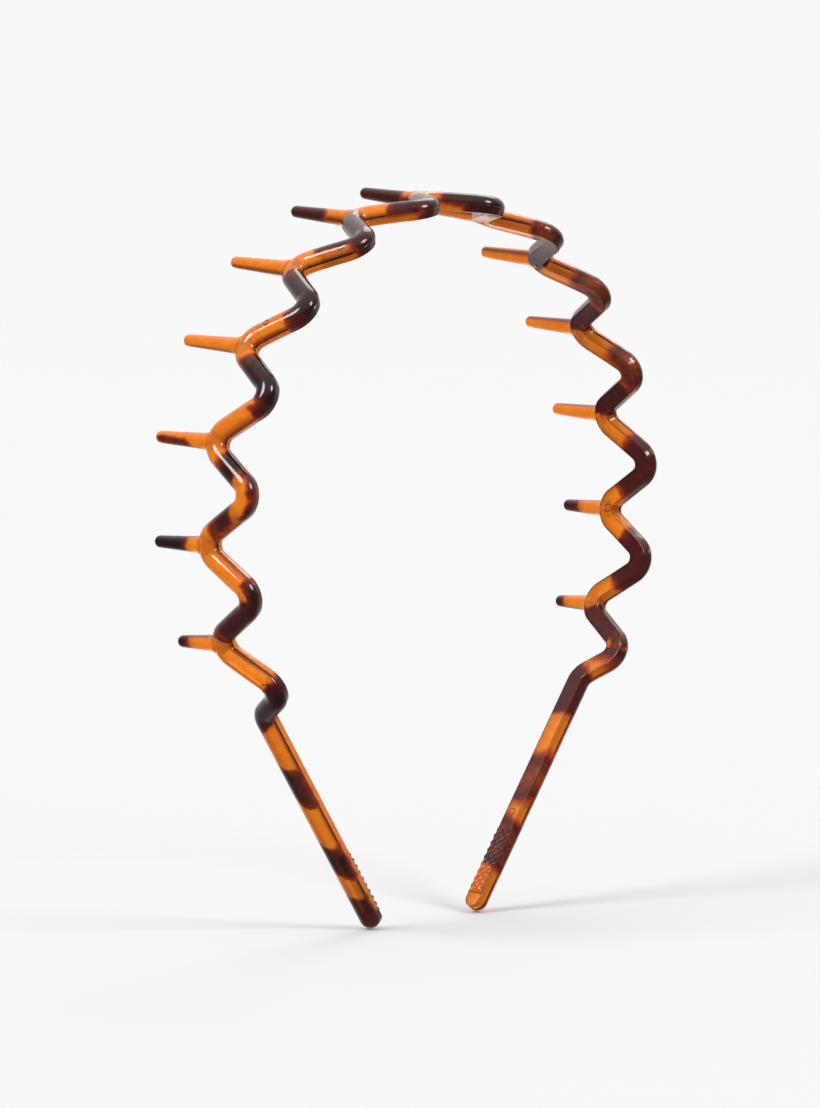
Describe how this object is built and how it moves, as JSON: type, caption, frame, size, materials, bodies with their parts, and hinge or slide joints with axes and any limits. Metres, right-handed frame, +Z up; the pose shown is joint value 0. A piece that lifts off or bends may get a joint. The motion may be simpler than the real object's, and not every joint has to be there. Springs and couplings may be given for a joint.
{
  "type": "zigzag comb headband",
  "caption": "Springy zigzag hoop headband of bent runs with comb teeth on the bends of one side, and straight arms with bumpy grips.",
  "frame": {"origin": "middle of the crown, on the inner face that rests on the head", "axes": "+X across the head, +Y the way the comb teeth point, +Z up out of the crown"},
  "size_m": [0.1216, 0.0271, 0.1407],
  "materials": {
    "tortoiseshell": "glossy translucent amber plastic with near-black burgundy patches"
  },
  "bodies": {
    "crown": {"crown_tooth": "tortoiseshell", "left_run_01": "tortoiseshell", "right_run_01": "tortoiseshell"},
    "left_link_1": {"left_run_02": "tortoiseshell", "left_run_03": "tortoiseshell", "left_run_04": "tortoiseshell", "left_run_05": "tortoiseshell", "left_tooth_1": "tortoiseshell", "left_tooth_2": "tortoiseshell"},
    "left_link_2": {"left_run_06": "tortoiseshell", "left_run_07": "tortoiseshell", "left_run_08": "tortoiseshell", "left_run_09": "tortoiseshell", "left_tooth_3": "tortoiseshell", "left_tooth_4": "tortoiseshell"},
    "left_link_3": {"left_run_10": "tortoiseshell", "left_run_11": "tortoiseshell", "left_run_12": "tortoiseshell", "left_run_13": "tortoiseshell", "left_tooth_5": "tortoiseshell", "left_tooth_6": "tortoiseshell"},
    "left_end": {"left_arm": "tortoiseshell", "left_grip": "tortoiseshell"},
    "right_link_1": {"right_run_02": "tortoiseshell", "right_run_03": "tortoiseshell", "right_run_04": "tortoiseshell", "right_run_05": "tortoiseshell", "right_tooth_1": "tortoiseshell", "right_tooth_2": "tortoiseshell"},
    "right_link_2": {"right_run_06": "tortoiseshell", "right_run_07": "tortoiseshell", "right_run_08": "tortoiseshell", "right_run_09": "tortoiseshell", "right_tooth_3": "tortoiseshell", "right_tooth_4": "tortoiseshell"},
    "right_link_3": {"right_run_10": "tortoiseshell", "right_run_11": "tortoiseshell", "right_run_12": "tortoiseshell", "right_run_13": "tortoiseshell", "right_tooth_5": "tortoiseshell", "right_tooth_6": "tortoiseshell"},
    "right_end": {"right_arm": "tortoiseshell", "right_grip": "tortoiseshell"}
  },
  "joints": [
    {"name": "left_flex_1", "type": "hinge", "parent": "crown", "child": "left_link_1", "pos_m": [-0.00958, 0, 0.00102], "axis": [0, 1, 0], "range_deg": [-2.3, 10.5], "stiffness_Nm_per_rad": 0.4},
    {"name": "left_flex_2", "type": "hinge", "parent": "left_link_1", "child": "left_link_2", "pos_m": [-0.04297, 0, -0.01677], "axis": [0, 1, 0], "range_deg": [-2, 9.13], "stiffness_Nm_per_rad": 0.4},
    {"name": "left_flex_3", "type": "hinge", "parent": "left_link_2", "child": "left_link_3", "pos_m": [-0.05869, 0, -0.05119], "axis": [0, 1, 0], "range_deg": [-1.42, 6.47], "stiffness_Nm_per_rad": 0.4},
    {"name": "left_flex_4", "type": "hinge", "parent": "left_link_3", "child": "left_end", "pos_m": [-0.05028, 0, -0.08807], "axis": [0, 1, 0], "range_deg": [-0.79, 3.62], "stiffness_Nm_per_rad": 0.4},
    {"name": "right_flex_1", "type": "hinge", "parent": "crown", "child": "right_link_1", "pos_m": [0.00958, 0, 0.00102], "axis": [0, -1, 0], "range_deg": [-2.3, 10.5], "stiffness_Nm_per_rad": 0.4},
    {"name": "right_flex_2", "type": "hinge", "parent": "right_link_1", "child": "right_link_2", "pos_m": [0.04297, 0, -0.01677], "axis": [0, -1, 0], "range_deg": [-2, 9.13], "stiffness_Nm_per_rad": 0.4},
    {"name": "right_flex_3", "type": "hinge", "parent": "right_link_2", "child": "right_link_3", "pos_m": [0.05869, 0, -0.05119], "axis": [0, -1, 0], "range_deg": [-1.42, 6.47], "stiffness_Nm_per_rad": 0.4},
    {"name": "right_flex_4", "type": "hinge", "parent": "right_link_3", "child": "right_end", "pos_m": [0.05028, 0, -0.08807], "axis": [0, -1, 0], "range_deg": [-0.79, 3.62], "stiffness_Nm_per_rad": 0.4}
  ],
  "couplings": [
    {"joint": "left_flex_2", "follows": "left_flex_1", "ratio": 0.86903},
    {"joint": "left_flex_3", "follows": "left_flex_1", "ratio": 0.61569},
    {"joint": "left_flex_4", "follows": "left_flex_1", "ratio": 0.34415},
    {"joint": "right_flex_2", "follows": "right_flex_1", "ratio": 0.86903},
    {"joint": "right_flex_3", "follows": "right_flex_1", "ratio": 0.61569},
    {"joint": "right_flex_4", "follows": "right_flex_1", "ratio": 0.34415}
  ]
}
